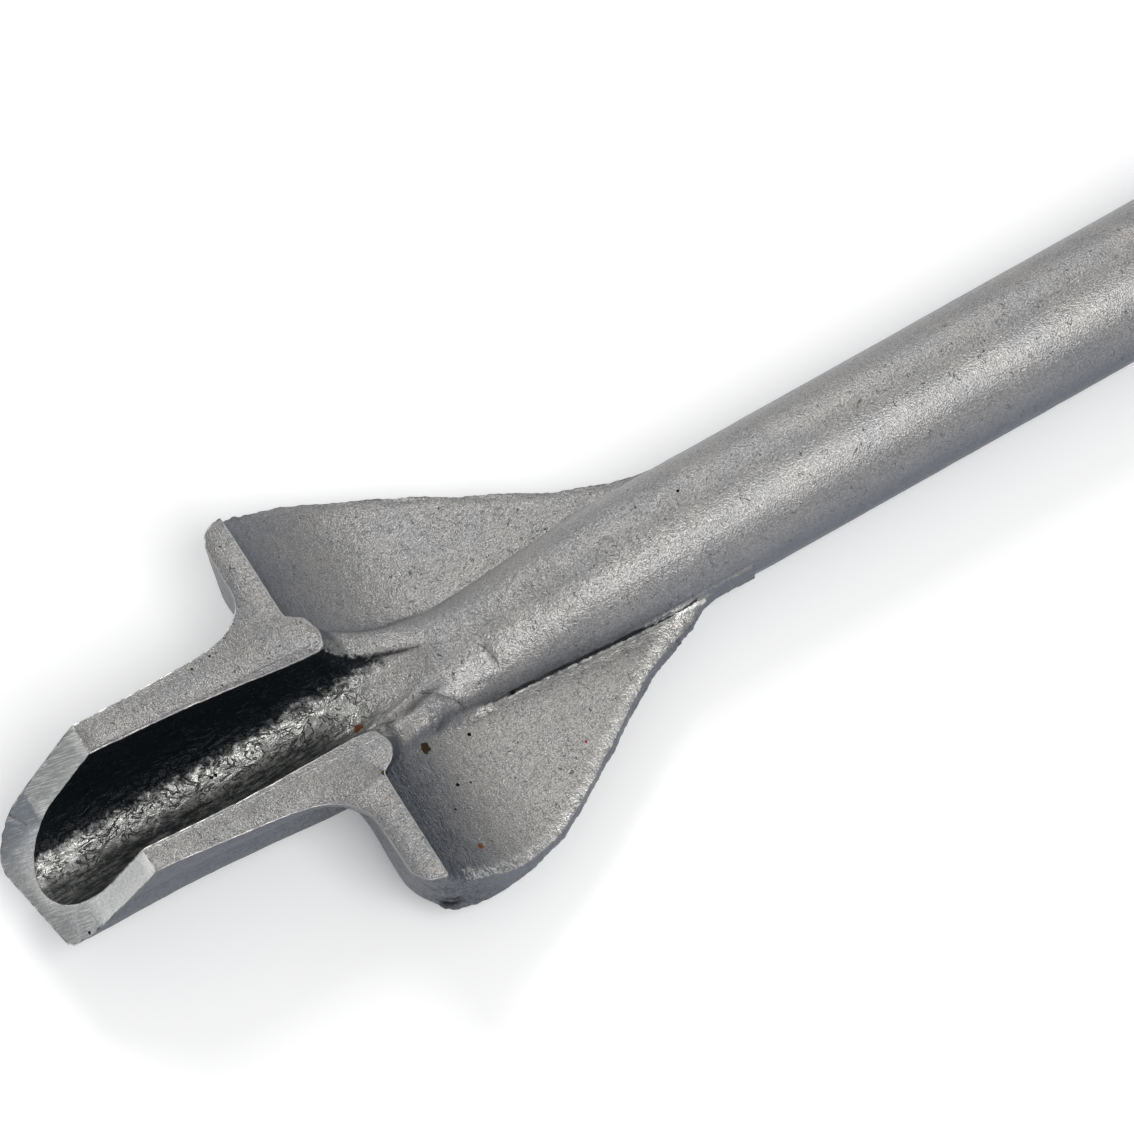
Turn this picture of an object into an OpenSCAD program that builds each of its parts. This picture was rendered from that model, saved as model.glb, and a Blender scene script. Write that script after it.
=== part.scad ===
// Winged channeling chisel with a slotted tang, in millimetres.
// X runs from the striking face to the cutting edge, Y across the wings, Z up out of the channel.
// Stations along the head are measured from the rear edge of the wings' flat bands.

/* [Overall] */
// Length from the striking face to the cutting edge
total_l = 300; // [260:1:400]
// Diameter of the round stem and tang
stem_d = 18; // [17:0.5:20]

/* [Tang] */
// Length of the tang that enters the hammer
tang_l = 90; // [80:1:110]
// Chamfer around the striking face
face_chamfer = 1.5; // [0.5:0.1:3]
// Width of the three open drive slots
drive_w = 5.5; // [4:0.1:6.5]
// Depth of the drive slots
drive_depth = 3; // [2:0.1:3.5]
// Length of the drive slots from the striking face
drive_l = 65; // [50:1:72]
// Width of the two closed locking recesses
lock_w = 7; // [5:0.1:8]
// Depth of the locking recesses
lock_depth = 2.7; // [2:0.1:3.2]
// Distance of the locking recesses from the striking face
lock_start = 22; // [15:1:30]
// Length of the locking recesses
lock_l = 33; // [25:1:38]
// Width of the turned run-out groove between the tang and the stem
groove_w = 1.5; // [1:0.1:3]
// Depth of that groove
groove_depth = 0.3; // [0.2:0.1:0.8]

/* [Neck] */
// Length of the neck behind the wings' bands
neck_l = 57; // [50:1:65]
// Width of the body at its waist
waist_w = 14.8; // [13:0.1:16.5]
// Distance of the waist behind the bands
waist_at = 14; // [11:0.5:20]
// Height of the crown above the axis where the channel starts
saddle_h = 5.1; // [4.5:0.1:6]
// Distance behind the bands at which the channel starts
channel_run = 14.5; // [11:0.5:16]

/* [Gouge] */
// Length from the wings' bands to the cutting edge
gouge_l = 45.9; // [38:0.1:60]
// Width across the lands at the wings
gouge_root_w = 26; // [24.5:0.1:28]
// Width across the lands at the bevel
gouge_tip_w = 22.9; // [21:0.1:24]
// Height of the lands above the axis at the bands
land_h = 8.3; // [7.5:0.1:9.5]
// Rise of the lands towards the tip, in degrees
land_rise = 7.7; // [5:0.1:10]
// Width of the channel between the lands at the bevel
channel_w = 15.1; // [14:0.1:16]
// Radius of the channel's floor
channel_r = 6.3; // [5.6:0.1:6.8]
// Height of the channel's floor above the axis at the tip
channel_floor = 0.9; // [0:0.1:2]
// Thickness of the gouge's floor at the cutting edge
floor_t = 2.5; // [1.6:0.1:3.5]
// Depth of the body below the axis at the wings
root_depth = 3.3; // [2.8:0.1:5]
// Radius of the gouge's lower corners
corner_r = 6; // [4.5:0.1:7.5]
// Slope of the ground bevel, in degrees from upright
bevel_a = 46.4; // [35:0.1:50]

/* [Wings] */
// Reach of the left wing from the axis
left_reach = 29.1; // [25:0.1:33]
// Reach of the right wing from the axis, which keeps more of its flash
right_reach = 31; // [26:0.1:33]
// Length of a wing behind its band
wing_l = 55; // [48:1:56]
// Thickness of the band along its top
band_t = 4; // [3:0.1:5]
// Length over which a wing curls up to its band
curl_l = 18; // [14:0.5:22]
// Thickness of the wing plate at the body
plate_t = 3.8; // [3:0.1:4.6]
// Fall of the wing's top towards its rim, per millimetre
wing_fall = 0.06; // [0:0.01:0.1]
// Length of the web in the corner in front of a band
web_l = 8; // [6:0.1:10]
// Reach of that web along the band
web_w = 5.5; // [4:0.1:7]

/* [Hidden] */
$fn = 96;

stem_r = stem_d / 2;
band_x = total_l - gouge_l;
waist_r = waist_w / 2;
reach = [left_reach, right_reach];
root_r = gouge_root_w / 2;
tip_r = gouge_tip_w / 2;
land_slope = tan(land_rise);
bevel_slope = tan(bevel_a);
keel_tip = channel_floor - floor_t;
land_l = (gouge_l - bevel_slope * (land_h - keel_tip)) / (1 + bevel_slope * land_slope);
web_end = band_t + web_l;

// The two hands of the head, which index the pairs of values below
LEFT = 0;
RIGHT = 1;
// Shift of the head's outer walls to the right, from the dies, and where it has faded in
die_shift = [-0.5, 0.5];
shift_end = 5;

// Where the stem's round section starts to change, behind the bands
round_l = neck_l - 12;
// Rear end of a land: a tongue with a round end, and the foot of its rear face
tongue_l = 2.7;
tongue_foot = 4.4;
tongue_r = 2.7;
tongue_y = 9.5;
tongue_tip_r = 0.3;
// The channel's core where it runs out of the crown, and its least half-width there
core_w = 5.6;
crease_min = 1.3;
// The channel between the lands: width at the bands, and the length over which it widens
channel_root_w = 13.6;
widen_l = 20;
// Length over which the channel's floor climbs, and how nearly its wall is upright at the lands
floor_ramp = 30;
bowl_round = 0.98;
// Space between the trough's edge and the edge above it, and the share of the foot it fills
edge_gap = 0.5;
foot_share = 0.97;
// Draft of the gouge's outer walls at the wings and at the bevel, and where it starts
draft_root = 1.1;
draft_tip = 0.8;
draft_start = 20;
// Upright strip below each land
land_lip = 1.2;
// Length past the lands at which the outer walls would end their taper
taper_past = 4;
// Length of the cutting edge's lean from upright to the bevel
lean_l = 3.2;
// Where the underside has reached its depth, and where its corners start and end tightening
keel_end = 10;
corner_start = 30;
corner_end = 8;
// Thickness of a wing at its tail, length over which it grows, and width of the ledge there
tail_t = 1.4;
tail_ramp = 15;
tail_w = [0.1, 1.1];
// Stations between which a wing flares out, behind the bands
flare_start = [50.4, 53];
flare_end = [7, 3];
// Round front corner of a wing along its top: length and width
top_corner_l = [5, 14];
top_corner_w = [3, 5];
// The same along its underside
low_corner_l = [8, 9];
low_corner_w = [8, 9];
// Height of the fillet between a wing and the body, at the tail and at the curl
fillet_tail = 0.1;
fillet_curl = 3;
fillet_start = 20;
fillet_aspect = 1.2;
// Height of the plate's rounded lower front edge, at the body and further out, and its length
root_lift = 7.7;
front_lift = 3.6;
lift_w = 8;
front_run = 4;
// Length over which the web's underside climbs to the lands
web_climb = 1.6;
// Depth by which the round underside stops short of the plate
under_gap = 0.6;
// Lean of a band's front face in plan, and its draft
front_skew = 0.2;
front_draft = 0.3;

function clamp01(t) = max(0, min(1, t));
function ease(a, b, x) = let (t = clamp01((x - a) / (b - a))) t * t * (3 - 2 * t);
function mix(a, b, t) = a + (b - a) * t;
function arch(t) = 1 - sqrt(max(0, 1 - t * t));

// Lengthwise curves of the head
function land(u) = land_h + land_slope * u;
function body_side(u) = u < -waist_at
  ? mix(stem_r, waist_r, ease(-round_l, -waist_at, u))
  : u < 0
  ? mix(waist_r, root_r, pow((u + waist_at) / waist_at, 3))
  : mix(root_r, tip_r, ease(0, land_l + taper_past, u));
function side(u, hand) = body_side(u) + die_shift[hand] * ease(-tongue_foot, shift_end, u);
function inset(u) = draft_root * ease(-draft_start, 0, u) - (draft_root - draft_tip) * ease(web_end, land_l, u);
function crown(u) = mix(stem_r, saddle_h, ease(-round_l, -channel_run / 2, u));
function keel(u) = -stem_r + (stem_r - root_depth) * ease(-round_l, keel_end, u)
  + (root_depth + keel_tip) * ease(0, land_l, u);
function corner(u) = mix(body_side(u), corner_r, ease(-corner_start, corner_end, u));

// A wing's plan, top and underside: u is the station and d the distance from the body
function flare(u, hand) = let (w = ease(-flare_start[hand], -flare_end[hand], u))
  mix(stem_r + tail_w[hand], reach[hand], w);
function front_corner(u, hand, l, w) = reach[hand] - w * arch(clamp01((u - band_t + l) / l));
function web_rim(u, hand) = side(u, hand) + web_w * arch(1 - (u - band_t) / web_l) + front_skew / 2;
function rim(u, hand, l, w) = u < band_t - front_skew / 2
  ? min(flare(u, hand), front_corner(u, hand, l, w))
  : web_rim(u, hand);
function curl(u) = let (t = clamp01((u + curl_l) / curl_l)) (arch(t) + t * t) / 2;
function fillet_h(u) = mix(fillet_tail, fillet_curl, ease(-fillet_start, -tongue_foot, u));
function fillet(u, d) = fillet_h(u) * arch(1 - clamp01(d / (fillet_h(u) * fillet_aspect)));
function wing_top(u, d) = u >= 0 ? land(u) : mix(fillet(u, d) - wing_fall * d, land_h, curl(u));
function plate_bottom(u) = -mix(tail_t, plate_t, ease(-wing_l, -wing_l + tail_ramp, u));
function lift(d) = mix(root_lift, front_lift, clamp01(d / lift_w));
function front_bottom(u, d) = -plate_t + lift(d) * arch(clamp01((u + front_run) / (band_t + front_run)));
function wing_bottom(u, d) = u < -front_run
  ? plate_bottom(u)
  : u <= band_t
  ? front_bottom(u, d)
  : mix(front_bottom(band_t, d), land(u) - land_lip, 1 - pow(1 - clamp01((u - band_t) / web_climb), 2));

// Half a section of the body, from the middle of its underside round to the middle of its top.
// The first 14 points and the last 14 face each other, so the end faces are strips between them.
half = 14;
arc_n = 5;
dome_n = 6;

function lower(u, hand) = let (
    r = corner(u),
    flat = side(u, hand) - inset(u) - r,
    centre = keel(u) + r,
    bottom = wing_bottom(u, 0),
    last = asin(max(-1, min(0, (bottom - under_gap - centre) / r))),
    round_end = u <= -neck_l
  ) concat(
    [[0, keel(u)], [max(flat, front_skew), keel(u)]],
    [for (j = [1 : arc_n]) let (a = mix(-90, last, j / arc_n)) [flat + r * cos(a), centre + r * sin(a)]],
    [[round_end ? sqrt(stem_r * stem_r - bottom * bottom) : side(u, hand), bottom]]
  );

function dome(u, y, side_y) = let (base = wing_top(u, 0))
  base + (crown(u) - base) * sqrt(max(0, 1 - pow(y / side_y, 2)));
function core(u) = core_w * sqrt(max(0, 1 + u / channel_run));
function crease(u) = u < -channel_run
  ? mix(crease_min, body_side(u) / 2, ease(-channel_run, -2 * channel_run, u))
  : max(crease_min, core(u));
function dome_points(u, hand) = let (side_y = side(u, hand), last = acos(crease(u) / side_y))
  [for (j = [0 : dome_n]) let (y = side_y * cos(last * j / dome_n)) [y, dome(u, y, side_y)]];

function tongue(u) = max(tongue_tip_r, tongue_r * sqrt(max(0, 1 - pow(u / tongue_l, 2))));
function tongue_points(u, hand) = let (outer = tongue_y + tongue(u), base = wing_top(u, 0)) concat(
    [for (a = [0 : 22.5 : 90]) [mix(side(u, hand), outer, 1 - cos(a)), mix(base, land(u), sin(a))]],
    [[tongue_y, land(u)], [tongue_y - tongue(u), land(u)]]
  );
function inner_edge(u) = mix(channel_root_w, channel_w, ease(0, widen_l, u)) / 2;
function land_points(u, hand) = [for (j = [0 : dome_n])
    [mix(side(u, hand), inner_edge(u), j / dome_n), land(u)]];

function upper(u, hand) = u >= 0
  ? land_points(u, hand)
  : u > -tongue_l
  ? tongue_points(u, hand)
  : let (w = ease(-tongue_foot, -tongue_l, u)) mix(dome_points(u, hand), tongue_points(u, hand), w);

// The channel: a round trough that narrows and climbs as it runs out of the crown
function drop(y) = channel_r - sqrt(channel_r * channel_r - y * y);
foot_y = core(-tongue_foot);
foot_z = dome(-tongue_foot, foot_y, body_side(-tongue_foot));
foot_floor = foot_z - drop(foot_y);
foot_bowl = pow(foot_y / channel_r, 2);
function trough_floor(u) = channel_floor
  + (foot_floor - channel_floor) * pow(1 - clamp01((u + tongue_foot) / floor_ramp), 3);
function trough_open(u) = ease(-tongue_foot, 0, u);
function trough_y(u) = mix(foot_share * foot_y, inner_edge(u) - edge_gap, trough_open(u));
function trough_z(u) = mix(foot_z, min(trough_floor(u) + channel_r, land(u) - edge_gap), trough_open(u));
function bowl(t, k) = (1 - sqrt(1 - k * t * t)) / (1 - sqrt(1 - k));
function channel_points(u) = let (k = mix(foot_bowl, bowl_round, trough_open(u)))
  [for (j = [0 : half - 2]) let (t = cos(90 * j / (half - 2)))
    [t * trough_y(u), mix(trough_floor(u), trough_z(u), bowl(t, k))]];
function runout_z(u, y) = let (c = core(u), top = dome(u, y, body_side(u)))
  c <= 0 ? top : min(top, dome(u, c, body_side(u)) - drop(c) + drop(y));
function runout_points(u) = let (w = foot_share * crease(u))
  [for (j = [0 : half - 2]) let (y = w * cos(90 * j / (half - 2))) [y, runout_z(u, y)]];
function inner(u) = u < -tongue_foot ? runout_points(u) : channel_points(u);

function half_section(u, hand) = concat(lower(u, hand), upper(u, hand), inner(u));

// A whole section at station u, leant forward by lean to follow the bevel at its end
function placed(p, u, lean) = [band_x + u + lean * bevel_slope * (land(u) - p[1]), p[0], p[1]];
function section(u, lean = 0) = let (left = half_section(u, LEFT), right = half_section(u, RIGHT)) concat(
    [for (p = left) placed(p, u, lean)],
    [for (j = [len(right) - 2 : -1 : 1]) placed([-right[j][0], right[j][1]], u, lean)]
  );

// A solid through sections of equal length, whose end faces are strips
module skin(sections) {
  n = len(sections[0]);
  k = n / 2;
  last = (len(sections) - 1) * n;
  walls = [for (i = [0 : n : last - n]) for (j = [0 : n - 1]) let (a = i + j, b = i + (j + 1) % n)
    each [[a, b + n, b], [a, a + n, b + n]]];
  near = [for (j = [0 : half - 2]) let (a = (n - j) % n, b = n - j - 1, c = k + j)
    each [[j, j + 1, k - j], [j + 1, k - j - 1, k - j], [a, c, b], [b, c, c + 1]]];
  far = [for (f = near) [f[0] + last, f[2] + last, f[1] + last]];
  polyhedron(points = [for (s = sections) each s], faces = concat(walls, near, far), convexity = 8);
}

// Stations of the head
tail_stations = [for (i = [0 : 12]) mix(-wing_l, -curl_l, i / 13)];
split_a = asin(1 - tongue_foot / curl_l);
curl_n = 10;
function curl_station(a) = -curl_l * (1 - sin(a));
curl_rear = concat([for (i = [0 : curl_n - 1]) curl_station(split_a * i / curl_n)], [-tongue_foot]);
curl_mid = [for (i = [1 : curl_n - 1]) curl_station(mix(split_a, 90, i / curl_n))];
curl_front = concat([-tongue_foot], curl_mid, [0]);
band_stations = [0.25 * band_t, 0.5 * band_t, 0.75 * band_t, band_t - front_skew];
web_stations = [for (a = [0 : 15 : 90]) band_t + web_l * (1 - cos(a))];
front_stations = [for (i = [1 : 5]) mix(web_end, land_l - lean_l, i / 5)];
wing_stations = concat(
  tail_stations,
  curl_rear,
  curl_mid,
  [0],
  band_stations,
  web_stations
);

module neck() {
  color("darkgray") skin([for (u = concat([-neck_l], tail_stations, curl_rear)) section(u)]);
}

module gouge() {
  color("silver") skin(concat(
    [for (u = concat(curl_front, band_stations, web_stations, front_stations)) section(u)],
    [for (v = [0.25 : 0.25 : 1]) section(land_l - lean_l * (1 - v), v)]
  ));
}

// A wing on the +Y side, between its top and its underside
lines = 8;
line_power = 1.5;
function line_y(u, k, hand, l, w) = mix(side(u, hand), rim(u, hand, l, w), pow(k / lines, line_power));
function lean(u, d) = front_draft * clamp01(d / lift_w) * ease(0, band_t, u);
module wing(hand) {
  m = len(wing_stations);
  row = lines + 1;
  size = m * row;
  top = [for (u = wing_stations) for (k = [0 : lines])
    let (y = line_y(u, k, hand, top_corner_l[hand], top_corner_w[hand]))
    [band_x + u, y, wing_top(u, y - side(u, hand))]];
  bottom = [for (u = wing_stations) for (k = [0 : lines])
    let (y = line_y(u, k, hand, low_corner_l[hand], low_corner_w[hand]), d = y - side(u, hand))
    [band_x + u + lean(u, d), y, wing_bottom(u, d)]];
  skins = [for (i = [0 : m - 2]) for (k = [0 : lines - 1])
    let (a = i * row + k, b = a + 1, c = a + row, d = c + 1)
    each [[a, b, d], [a, d, c], [a + size, d + size, b + size], [a + size, c + size, d + size]]];
  root = [for (i = [0 : m - 2]) let (a = i * row, c = a + row)
    each [[a, c, c + size], [a, c + size, a + size]]];
  edge = [for (i = [0 : m - 2]) let (a = i * row + lines, c = a + row)
    each [[a, c + size, c], [a, a + size, c + size]]];
  near = [for (k = [0 : lines - 1]) let (a = k, b = k + 1)
    each [[a, b + size, b], [a, a + size, b + size]]];
  far = [for (k = [0 : lines - 1]) let (a = (m - 1) * row + k, b = a + 1)
    each [[a, b, b + size], [a, b + size, a + size]]];
  polyhedron(points = concat(top, bottom), faces = concat(skins, root, edge, near, far), convexity = 6);
}

module left_wing() {
  color("gainsboro") wing(LEFT);
}

module right_wing() {
  color("gainsboro") mirror([0, 1, 0]) wing(RIGHT);
}

module along_x() {
  rotate([0, 90, 0]) children();
}

module stem() {
  color("lightgray") translate([tang_l, 0, 0]) along_x() cylinder(r = stem_r, h = band_x - neck_l - tang_l);
}

// The tang's slots: angles around the axis from +Z towards +Y, the slots' run-out, and the cutters' surplus
drive_angles = [0, 150, 210];
lock_angles = [90, 270];
runout_l = 6;
surplus = 1;
module drive_slot() {
  floor_z = stem_r - drive_depth;
  top_z = stem_r + surplus;
  slope_end = drive_l + runout_l * surplus / drive_depth;
  rotate([90, 0, 0]) linear_extrude(height = drive_w, center = true)
    polygon([[-surplus, floor_z], [drive_l - runout_l, floor_z], [slope_end, top_z], [-surplus, top_z]]);
}
module lock_recess() {
  r = lock_w / 2;
  translate([lock_start, 0, stem_r - lock_depth + r]) along_x() rotate_extrude()
    polygon([[0, 0], [r, r], [r, lock_l - r], [0, lock_l]]);
}

module tang() {
  nose_r = stem_r - face_chamfer;
  groove_r = stem_r - groove_depth;
  wall_end = tang_l - groove_w;
  color("silver") difference() {
    along_x() rotate_extrude() polygon([
      [0, 0], [nose_r, 0], [stem_r, face_chamfer], [stem_r, wall_end], [groove_r, wall_end],
      [groove_r, tang_l], [0, tang_l]
    ]);
    for (a = drive_angles) rotate([-a, 0, 0]) drive_slot();
    for (a = lock_angles) rotate([-a, 0, 0]) lock_recess();
  }
}

tang();
stem();
neck();
gouge();
left_wing();
right_wing();
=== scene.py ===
"""Looks of a channeling chisel bit: a coated forging, a ground bevel and a turned tang."""

import math

import bmesh
import bpy
from mathutils import Matrix, Vector, noise
from mathutils.bvhtree import BVHTree
from mathutils.geometry import intersect_point_line
from mathutils.kdtree import KDTree

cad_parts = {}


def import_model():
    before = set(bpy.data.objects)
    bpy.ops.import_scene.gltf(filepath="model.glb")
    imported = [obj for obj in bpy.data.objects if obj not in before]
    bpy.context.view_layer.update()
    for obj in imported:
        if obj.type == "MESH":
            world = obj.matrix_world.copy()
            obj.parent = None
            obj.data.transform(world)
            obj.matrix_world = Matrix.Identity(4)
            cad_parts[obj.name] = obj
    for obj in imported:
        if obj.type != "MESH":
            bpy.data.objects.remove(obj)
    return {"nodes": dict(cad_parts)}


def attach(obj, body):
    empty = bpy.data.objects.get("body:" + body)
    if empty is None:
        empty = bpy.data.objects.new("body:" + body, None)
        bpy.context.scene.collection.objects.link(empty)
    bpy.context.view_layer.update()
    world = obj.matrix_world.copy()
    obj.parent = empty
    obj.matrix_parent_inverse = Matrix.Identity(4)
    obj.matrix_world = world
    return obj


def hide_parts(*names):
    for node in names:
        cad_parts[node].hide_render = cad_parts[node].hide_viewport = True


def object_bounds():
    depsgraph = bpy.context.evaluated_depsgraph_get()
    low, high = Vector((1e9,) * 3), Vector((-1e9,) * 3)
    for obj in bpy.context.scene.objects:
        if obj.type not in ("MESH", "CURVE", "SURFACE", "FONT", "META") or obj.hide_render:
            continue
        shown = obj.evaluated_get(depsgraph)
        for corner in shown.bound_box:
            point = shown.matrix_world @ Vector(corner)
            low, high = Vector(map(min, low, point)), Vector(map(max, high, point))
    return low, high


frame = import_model()
cad_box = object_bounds()

MM = 0.001

# The head's planes, in millimetres. The lands rise towards the tip, and the bevel
# cuts them off. Stations are measured forward from the wings' bands, at BAND_X.
BAND_X = 254.1
TIP_X = 300.0
KEEL_TIP = -1.6
LAND_H = 8.3
LAND_SLOPE = math.tan(math.radians(7.7))
BEVEL_SLOPE = math.tan(math.radians(46.4))
LAND_NORMAL = Vector((-LAND_SLOPE, 0, 1)).normalized()
BEVEL_NORMAL = Vector((1, 0, BEVEL_SLOPE)).normalized()
FORGED_NODES = ("stem", "neck", "gouge", "left_wing", "right_wing")


def land_z(x):
    """Height of the lands' plane at x, in millimetres"""
    return LAND_H + LAND_SLOPE * (x - BAND_X)


def bevel_x(z):
    """Place of the bevel's plane at height z, in millimetres"""
    return TIP_X - BEVEL_SLOPE * (z - KEEL_TIP)


def on_head(u, y, z):
    """The point at a station on the head"""
    return Vector((BAND_X + u, y, z))


def smooth(a, b, x):
    """0 at a, 1 at b, and a soft step between them"""
    t = min(max((x - a) / (b - a), 0.0), 1.0)
    return t * t * (3 - 2 * t)


def put(name, data):
    """A new object in the scene that holds a mesh, a light or a camera"""
    holder = bpy.data.objects.new(name, data)
    bpy.context.scene.collection.objects.link(holder)
    return holder


def mesh_of(name, bm):
    """The finished shape as a mesh"""
    mesh = bpy.data.meshes.new(name)
    bm.to_mesh(mesh)
    bm.free()
    return mesh


# The forging

# The skin's mesh: its step, and the stem that is drawn out behind it in even rings
SKIN_STEP = 0.37
SMOOTHINGS = 3
STEM_CUT = 190.0
STEM_SPARE = 4.0
STEM_REAR = 90.0
STEM_STEP = 2.5

# Flat faces stand proud on the blank, and are cut on the skin at these planes.
# The right arm of the bevel was ground a little steeper, above ARM_CORNER_Z.
PROUD = 0.8
ON_PLANE = 0.02
BEVEL_GROUND = 0.3
ARM_CORNER_Z = 4.7
ARM_TURN = math.radians(2.5)
ARM_NORMAL = Matrix.Rotation(-ARM_TURN, 3, "Y") @ BEVEL_NORMAL
BLUNT_NORMAL = Vector((0.93, 0.18, -0.36)).normalized()
LAND_PLANE = ((BAND_X, 0, LAND_H), LAND_NORMAL)
BEVEL_PLANE = ((TIP_X - BEVEL_GROUND, 0, KEEL_TIP), BEVEL_NORMAL)
ARM_PLANE = ((bevel_x(ARM_CORNER_Z) - BEVEL_GROUND, 0, ARM_CORNER_Z), ARM_NORMAL)
BLUNT_PLANE = ((TIP_X - 1.35, 0, KEEL_TIP), BLUNT_NORMAL)

# A face counts as cut when it looks the plane's way and lies this near to it
SAME_WAY = 0.9999
SAME_PLANE = 0.002
CUT_MERGE = 0.05

# The worn flat round a cut face: its width, its drop and its longest face
EDGE_WEAR = 0.14
EDGE_DROP = 0.09
EDGE_FACE = 1.0
COATED, GROUND, WORN = range(3)

# The wings begin outside this distance from the axis; their upper edges are rolled
WING_Y = 9.8
ROLL_WIDTH = 1.9
ROLL_DEPTH = 0.55

# Unevenness of the forged skin, as heights and scales of noise
SKIN_WAVES = ((0.05, 0.25), (0.03, 0.8))
CHANNEL_WAVES = ((0.05, 1.1), (0.03, 2.3))
TEAR_WAVE = (0.26, 0.33)
TEAR_RIPPLE = (0.12, 1.3)
TEAR_SHIFT = Vector((7, 3, 1))
RIGHT_FLASH = 0.22

# Lumps of flash at the left wing's corner: station, y, z and radius
BURRS = [
    (-0.3, 27.7, -2.9, 0.9),
    (0.9, 27.4, -2.3, 0.75),
    (-1.5, 27.9, -3.1, 0.6),
    (0.2, 27.5, 2.1, 1.25),
]

# The flat left at the neck's left side by the trimming of the flash
TRIM_START = -54.3
TRIM_END = -44.5
TRIM_TOP = 0.75
TRIM_LOW = -2.4
TRIM_Y = 9.2
TRIM_SLOPE = 0.02

# Nicks in the edges, and swellings with a depth below 0: station, y, z, radius and depth
DENTS = [
    (39.5, 9.2, 3.2, 2.0, 0.35),
    (37.2, 10.6, 5.5, 1.1, 0.2),
    (36.6, -12.0, 5.0, 0.9, 0.3),
    (39.6, -11.6, 2.6, 1.2, 0.25),
    (44.0, -9.0, -0.4, 1.0, 0.2),
    (41.9, 9.7, 1.6, 1.2, 0.3),
    (43.6, 8.6, 0.1, 1.0, 0.3),
    (35.8, 11.0, 6.6, 0.9, 0.25),
    (40.6, -10.9, 1.6, 1.3, 0.3),
    (42.6, -9.9, 0.6, 1.0, 0.25),
    (45.5, 4.6, -1.4, 1.2, 0.25),
    (-9.5, 7.0, 4.0, 3.2, -0.35),
    (-24.0, 1.5, 6.5, 4.0, -0.2),
    (-33.0, 3.0, 7.0, 5.0, -0.2),
]

# Laps and valleys pressed into the skin: radius, painted shade, and points as station, y, z and
# depth
GROOVES = [
    (0.7, 0.7, [
        (-2.0, 4.7, 5.1, 0.5),
        (-4.8, 5.0, 5.1, 0.5),
        (-7.8, 4.8, 4.9, 0.45),
        (-10.2, 4.3, 4.9, 0.3),
        (-14.0, 4.0, 5.0, 0.0),
    ]),
    (0.36, 1.0, [
        (-4.5, -4.9, 5.2, 0.4),
        (-6.5, -4.1, 4.9, 0.4),
        (-10.1, -2.8, 4.65, 0.3),
        (-12.9, -1.7, 5.0, 0.0),
    ]),
    (0.30, 0.4, [
        (-19.5, 1.0, 6.0, 0.0),
        (-19.7, 3.2, 5.5, 0.2),
        (-19.8, 4.5, 4.9, 0.22),
        (-19.9, 5.7, 4.0, 0.0),
    ]),
    (0.30, 0.4, [
        (-9.7, 3.75, 4.75, 0.15),
        (-11.3, 4.65, 4.55, 0.2),
        (-12.4, 5.7, 4.1, 0.2),
        (-13.7, 6.9, 2.9, 0.15),
        (-13.75, 7.5, 1.4, 0.0),
    ]),
    (0.4, 1.0, [(1.2, 27.9, -0.2, 0.4), (0.2, 28.4, -0.6, 0.5), (-0.8, 28.4, -0.4, 0.3)]),
    (0.4, 1.0, [(1.4, 27.6, -1.6, 0.4), (0.3, 28.1, -2.0, 0.5), (-1.0, 28.3, -1.6, 0.3)]),
]
GROOVE_REACH = 8

# The thin raised lip beside the crease at the left wing's root
LIP_RANGE = (-46.0, -13.0)
LIP_AWAY = 0.62
LIP_WIDTH = 0.34
LIP_HEIGHT = 0.10

# The right band's outer corner is rounded off
BAND_END_Y = -27.0
BAND_END_LENGTH = 3.6
BAND_END_DROP = 2.8
BAND_END_BULGE = 0.45

# The flash bulges from the left wing's side near its rear end
BULGE = (-47.0, -36.0)
BULGE_DEPTH = 0.45


def blank_mesh():
    """The forging's solids as one skin, with its flat faces left proud for the cuts"""
    bm = bmesh.new()
    for name in FORGED_NODES:
        bm.from_mesh(frame["nodes"][name].data)
    bmesh.ops.remove_doubles(bm, verts=bm.verts, dist=1e-7)
    bmesh.ops.scale(bm, vec=(1 / MM,) * 3, verts=bm.verts)
    for v in bm.verts:
        if v.co.x < STEM_CUT:
            v.co.x = STEM_CUT - STEM_SPARE
        x, z = v.co.x, v.co.z
        on_land = abs(z - land_z(x)) < ON_PLANE and x > BAND_X - 3
        on_bevel = abs(x - bevel_x(z)) < ON_PLANE
        if on_land:
            v.co.z += PROUD
        if on_bevel:
            v.co.x += PROUD * 1.5
    for u, y, z, r in BURRS:
        place = Matrix.Translation(on_head(u, y, z))
        bmesh.ops.create_icosphere(bm, subdivisions=2, radius=r, matrix=place)
    return mesh_of("blank", bm)


def remeshed(mesh):
    """The mesh as one even skin"""
    blank = put("blank", mesh)
    skin = blank.modifiers.new("skin", "REMESH")
    skin.mode = "VOXEL"
    skin.voxel_size = SKIN_STEP
    depsgraph = bpy.context.evaluated_depsgraph_get()
    even = bpy.data.meshes.new_from_object(blank.evaluated_get(depsgraph))
    bpy.data.objects.remove(blank)
    return even


def lengthen_stem(bm):
    """Cuts the skin's rear end off square and draws it out to the tang in even rings"""
    cut = bmesh.ops.bisect_plane(
        bm,
        geom=bm.verts[:] + bm.edges[:] + bm.faces[:],
        plane_co=(STEM_CUT, 0, 0),
        plane_no=(-1, 0, 0),
        clear_outer=True,
    )
    ring = [e for e in cut["geom_cut"] if isinstance(e, bmesh.types.BMEdge)]
    steps = round((STEM_CUT - STEM_REAR) / STEM_STEP)
    for _ in range(steps):
        drawn = bmesh.ops.extrude_edge_only(bm, edges=ring)["geom"]
        ring = [e for e in drawn if isinstance(e, bmesh.types.BMEdge)]
        ends = [v for v in drawn if isinstance(v, bmesh.types.BMVert)]
        bmesh.ops.translate(bm, verts=ends, vec=(-(STEM_CUT - STEM_REAR) / steps, 0, 0))
    bmesh.ops.holes_fill(bm, edges=ring, sides=0)


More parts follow.
